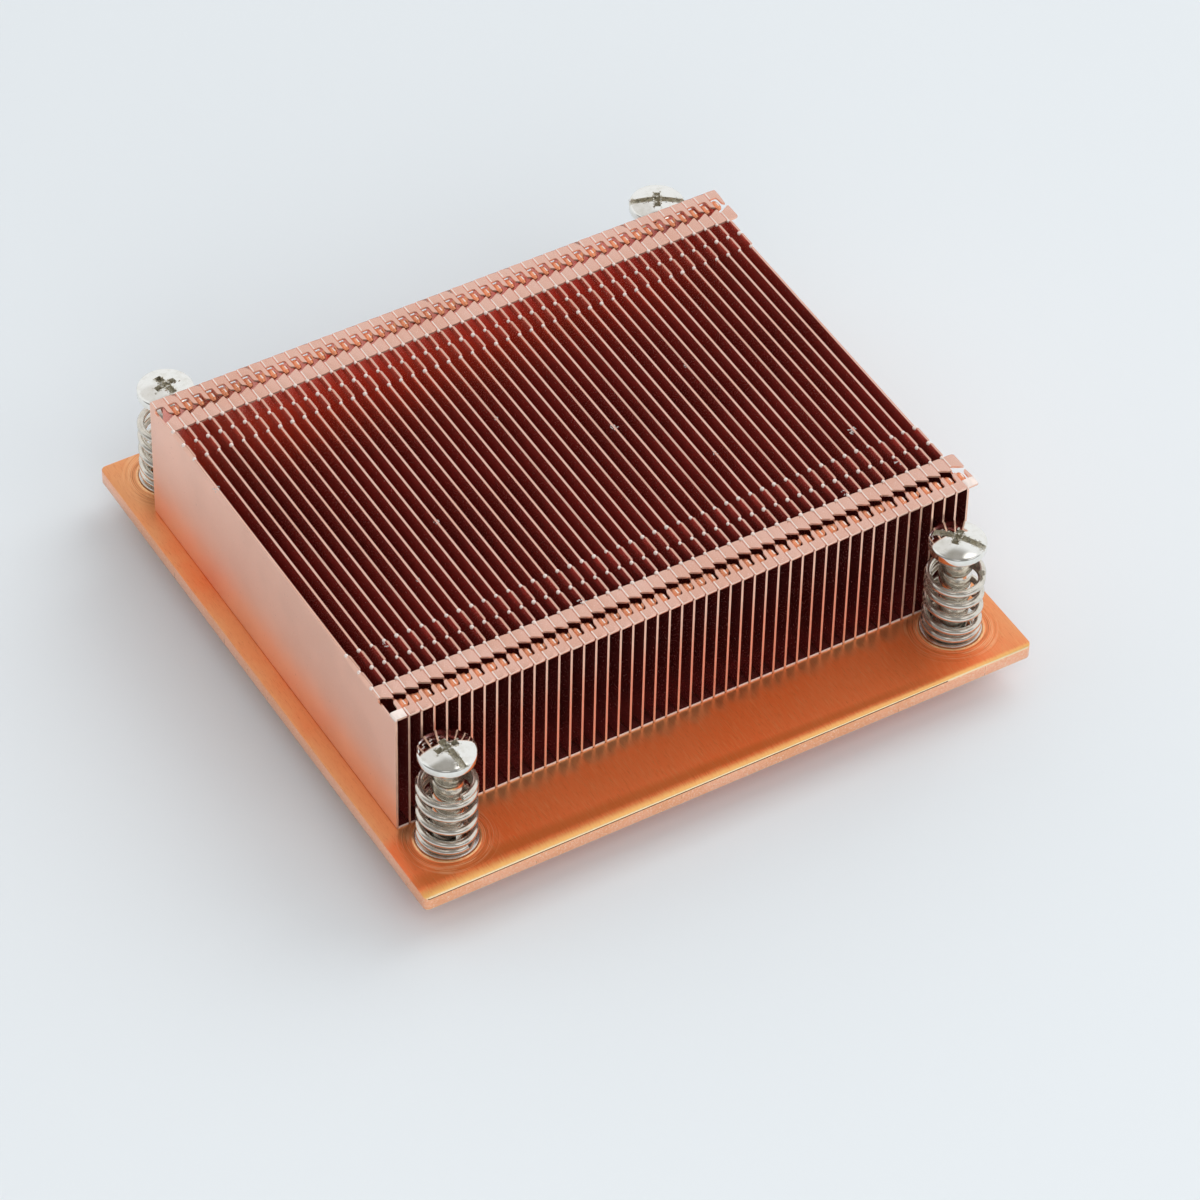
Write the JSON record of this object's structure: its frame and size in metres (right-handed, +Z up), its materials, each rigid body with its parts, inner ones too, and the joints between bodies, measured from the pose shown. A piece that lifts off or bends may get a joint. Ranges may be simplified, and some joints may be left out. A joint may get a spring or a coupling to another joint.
{
  "type": "passive server cpu heatsink",
  "caption": "Low passive heatsink of interlocked folded copper fins on a copper base plate, held down by spring-loaded captive screws at its corners.",
  "frame": {"origin": "centre of the pedestal's contact face under the base plate, which is also the centre of the four screws", "axes": "+Z up from the contact face, +X across the fins towards the side the fins' tabs point to, +Y along the fins to the back"},
  "size_m": [0.09, 0.0886, 0.0267],
  "materials": {
    "base_copper": "brushed bare copper, with a fine grain along Y",
    "fin_copper": "bare rolled copper sheet",
    "screw_nickel": "nickel-plated steel",
    "ring_steel": "plain spring steel",
    "spring_steel": "nickel-plated spring wire",
    "washer_steel": "plated steel"
  },
  "bodies": {
    "heatsink": {"base_plate": "base_copper", "fin_01": "fin_copper", "fin_02": "fin_copper", "fin_03": "fin_copper", "fin_04": "fin_copper", "fin_05": "fin_copper", "fin_06": "fin_copper", "fin_07": "fin_copper", "fin_08": "fin_copper", "fin_09": "fin_copper", "fin_10": "fin_copper", "fin_11": "fin_copper", "fin_12": "fin_copper", "fin_13": "fin_copper", "fin_14": "fin_copper", "fin_15": "fin_copper", "fin_16": "fin_copper", "fin_17": "fin_copper", "fin_18": "fin_copper", "fin_19": "fin_copper", "fin_20": "fin_copper", "fin_21": "fin_copper", "fin_22": "fin_copper", "fin_23": "fin_copper", "fin_24": "fin_copper", "fin_25": "fin_copper", "fin_26": "fin_copper", "fin_27": "fin_copper", "fin_28": "fin_copper", "fin_29": "fin_copper", "fin_30": "fin_copper", "fin_31": "fin_copper", "fin_32": "fin_copper", "fin_33": "fin_copper", "fin_34": "fin_copper", "fin_35": "fin_copper", "fin_36": "fin_copper", "fin_37": "fin_copper", "fin_38": "fin_copper", "fin_39": "fin_copper", "fin_40": "fin_copper", "fin_41": "fin_copper", "fin_42": "fin_copper", "fin_43": "fin_copper", "fin_44": "fin_copper", "fins_45_46": "fin_copper", "fins_47_48": "fin_copper", "spring_washers": "washer_steel", "spring_front_left": "spring_steel", "spring_front_right": "spring_steel", "spring_back_left": "spring_steel", "spring_back_right": "spring_steel"},
    "ring_front_left": {"retaining_ring_front_left": "ring_steel"},
    "screw_front_left": {"screw_front_left": "screw_nickel"},
    "ring_front_right": {"retaining_ring_front_right": "ring_steel"},
    "screw_front_right": {"screw_front_right": "screw_nickel"},
    "ring_back_left": {"retaining_ring_back_left": "ring_steel"},
    "screw_back_left": {"screw_back_left": "screw_nickel"},
    "ring_back_right": {"retaining_ring_back_right": "ring_steel"},
    "screw_back_right": {"screw_back_right": "screw_nickel"}
  },
  "joints": [
    {"name": "press_front_left", "type": "slide", "parent": "heatsink", "child": "ring_front_left", "axis": [0, 0, -1], "range_m": [0, 0.0081], "stiffness_N_per_m": 2800, "deforming": ["spring_front_left"]},
    {"name": "turn_front_left", "type": "hinge", "parent": "ring_front_left", "child": "screw_front_left", "pos_m": [-0.0375, -0.0375, 0], "axis": [0, 0, 1], "continuous": true},
    {"name": "press_front_right", "type": "slide", "parent": "heatsink", "child": "ring_front_right", "axis": [0, 0, -1], "range_m": [0, 0.0081], "stiffness_N_per_m": 2800, "deforming": ["spring_front_right"]},
    {"name": "turn_front_right", "type": "hinge", "parent": "ring_front_right", "child": "screw_front_right", "pos_m": [0.0375, -0.0375, 0], "axis": [0, 0, 1], "continuous": true},
    {"name": "press_back_left", "type": "slide", "parent": "heatsink", "child": "ring_back_left", "axis": [0, 0, -1], "range_m": [0, 0.0081], "stiffness_N_per_m": 2800, "deforming": ["spring_back_left"]},
    {"name": "turn_back_left", "type": "hinge", "parent": "ring_back_left", "child": "screw_back_left", "pos_m": [-0.0375, 0.0375, 0], "axis": [0, 0, 1], "continuous": true},
    {"name": "press_back_right", "type": "slide", "parent": "heatsink", "child": "ring_back_right", "axis": [0, 0, -1], "range_m": [0, 0.0081], "stiffness_N_per_m": 2800, "deforming": ["spring_back_right"]},
    {"name": "turn_back_right", "type": "hinge", "parent": "ring_back_right", "child": "screw_back_right", "pos_m": [0.0375, 0.0375, 0], "axis": [0, 0, 1], "continuous": true}
  ]
}
